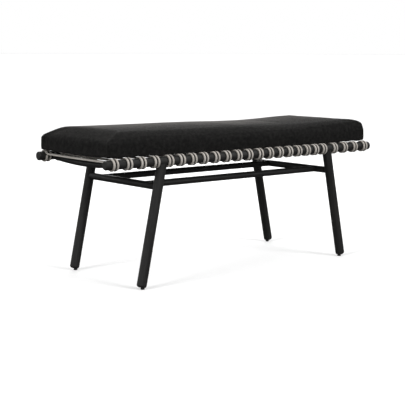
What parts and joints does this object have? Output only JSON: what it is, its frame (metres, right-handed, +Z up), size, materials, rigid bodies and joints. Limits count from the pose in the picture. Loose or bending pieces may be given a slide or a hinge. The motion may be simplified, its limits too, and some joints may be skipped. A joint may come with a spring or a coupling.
{
  "type": "entryway bench",
  "caption": "Low entryway bench: round-bar frame on splayed legs, seat laced with pairs of pale cord between two long rails, loose dark fabric cushion on top.",
  "frame": {"origin": "on the floor, below the middle of the seat", "axes": "+X along the bench, towards its right-hand end as seen from the front; +Y from the front to the back; +Z up"},
  "size_m": [1.204, 0.4374, 0.512],
  "materials": {
    "frame_black": "black-stained fine-grained hardwood with a satin lacquer",
    "glide_black": "matte moulded nylon",
    "seat_cord": "braided cream cotton-look cord",
    "cushion_fabric": "black woven upholstery fabric with a soft surface",
    "wadding": "white polyester wadding",
    "foam": "open-cell seat foam"
  },
  "bodies": {
    "bench_frame": {"front_seat_rail": "frame_black", "back_seat_rail": "frame_black", "left_end_rail": "frame_black", "right_end_rail": "frame_black", "front_left_leg": "frame_black", "front_right_leg": "frame_black", "back_left_leg": "frame_black", "back_right_leg": "frame_black", "left_cross_stretcher": "frame_black", "right_cross_stretcher": "frame_black", "front_long_stretcher": "frame_black", "back_long_stretcher": "frame_black", "front_left_glide": "glide_black", "front_right_glide": "glide_black", "back_left_glide": "glide_black", "back_right_glide": "glide_black", "seat_cord_pair_01": "seat_cord", "seat_cord_pair_02": "seat_cord", "seat_cord_pair_03": "seat_cord", "seat_cord_pair_04": "seat_cord", "seat_cord_pair_05": "seat_cord", "seat_cord_pair_06": "seat_cord", "seat_cord_pair_07": "seat_cord", "seat_cord_pair_08": "seat_cord", "seat_cord_pair_09": "seat_cord", "seat_cord_pair_10": "seat_cord", "seat_cord_pair_11": "seat_cord", "seat_cord_pair_12": "seat_cord", "seat_cord_pair_13": "seat_cord", "seat_cord_pair_14": "seat_cord", "seat_cord_pair_15": "seat_cord", "seat_cord_pair_16": "seat_cord", "seat_cord_pair_17": "seat_cord", "seat_cord_pair_18": "seat_cord", "seat_cord_pair_19": "seat_cord", "seat_cord_pair_20": "seat_cord", "seat_cord_pair_21": "seat_cord", "seat_cord_pair_22": "seat_cord", "seat_cord_pair_23": "seat_cord", "seat_cord_pair_24": "seat_cord"},
    "cushion": {"cushion_cover": "cushion_fabric", "cushion_wadding": "wadding", "cushion_foam": "foam"}
  },
  "joints": [
    {"name": "cushion_lift", "type": "slide", "parent": "bench_frame", "child": "cushion", "axis": [0, 0, 1], "range_m": [0, 0.15]}
  ]
}
